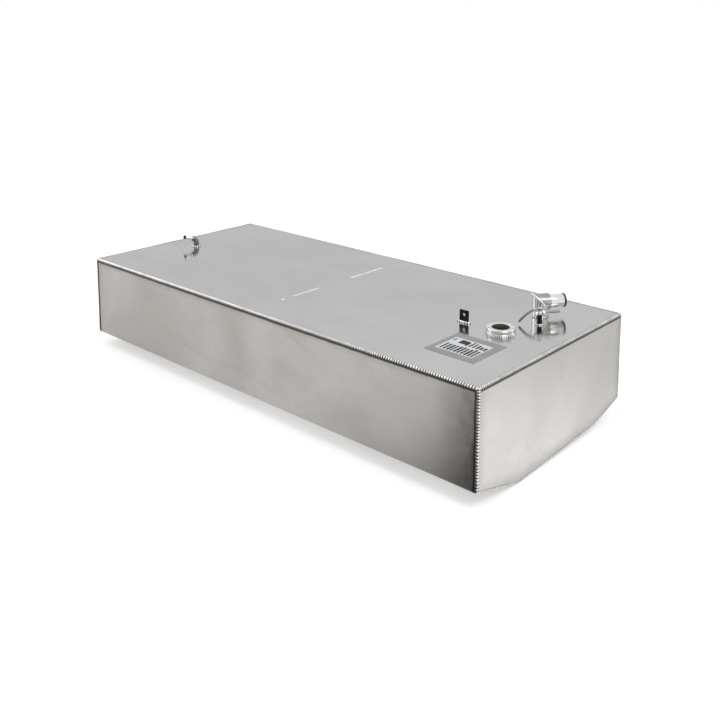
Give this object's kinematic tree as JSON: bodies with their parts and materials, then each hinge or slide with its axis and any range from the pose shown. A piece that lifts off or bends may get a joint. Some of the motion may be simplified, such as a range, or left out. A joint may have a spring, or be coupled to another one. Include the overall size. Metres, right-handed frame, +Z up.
{
  "type": "fresh water tank",
  "caption": "Flat welded stainless tank with a shallow hull-shaped bottom, mitred filler, gauge flange, pick-up tap, vent elbow and earth tab.",
  "frame": {"origin": "on the ground under the middle of the tank", "axes": "+X along the tank towards the end that carries the fittings, -Y is the front side, +Z up"},
  "size_m": [1.2716, 0.5586, 0.2957],
  "materials": {
    "satin_stainless": "satin",
    "bright_stainless": "bright, blurred mirror",
    "pipe_stainless": "drawn tube, darker",
    "polished_stainless": "polished stainless",
    "weld_bead": "rippled weld bead",
    "label_film": "matt film"
  },
  "bodies": {
    "tank": {"top_plate": "bright_stainless", "data_label": "label_film", "weld_top_front": "weld_bead", "weld_top_back": "weld_bead", "weld_top_left": "weld_bead", "weld_top_right": "weld_bead", "weld_end_left": "weld_bead", "weld_end_right": "weld_bead", "plug_weld_front_spot": "weld_bead", "plug_weld_front": "weld_bead", "plug_weld_back": "weld_bead", "filler_riser": "pipe_stainless", "filler_elbow_leg": "pipe_stainless", "filler_spigot": "polished_stainless", "filler_base_weld": "weld_bead", "filler_mitre_weld": "weld_bead", "sender_flange": "polished_stainless", "sender_flange_weld": "weld_bead", "pickup_bung": "pipe_stainless", "pickup_bung_weld": "weld_bead", "pickup_riser": "polished_stainless", "pickup_dip_tube": "pipe_stainless", "pickup_strainer": "pipe_stainless", "tap_body": "polished_stainless", "tap_end_cap": "polished_stainless", "tap_union_nut": "polished_stainless", "tap_hose_tail": "polished_stainless", "tap_gland_nut": "polished_stainless", "vent_elbow": "pipe_stainless", "vent_hose_tail": "polished_stainless", "vent_base_weld": "weld_bead", "earth_tab": "pipe_stainless", "earth_tab_weld": "weld_bead", "body_wrap": "satin_stainless", "left_end_plate": "satin_stainless", "right_end_plate": "satin_stainless", "center_baffle": "satin_stainless"},
    "lever": {"tap_plug": "polished_stainless", "tap_lever": "polished_stainless", "tap_lever_nut": "polished_stainless"}
  },
  "joints": [
    {"name": "tap_lever_turn", "type": "hinge", "parent": "tank", "child": "lever", "pos_m": [0.536, 0.0903, 0.243], "axis": [0, 0, 1], "range_deg": [0, 90]}
  ]
}
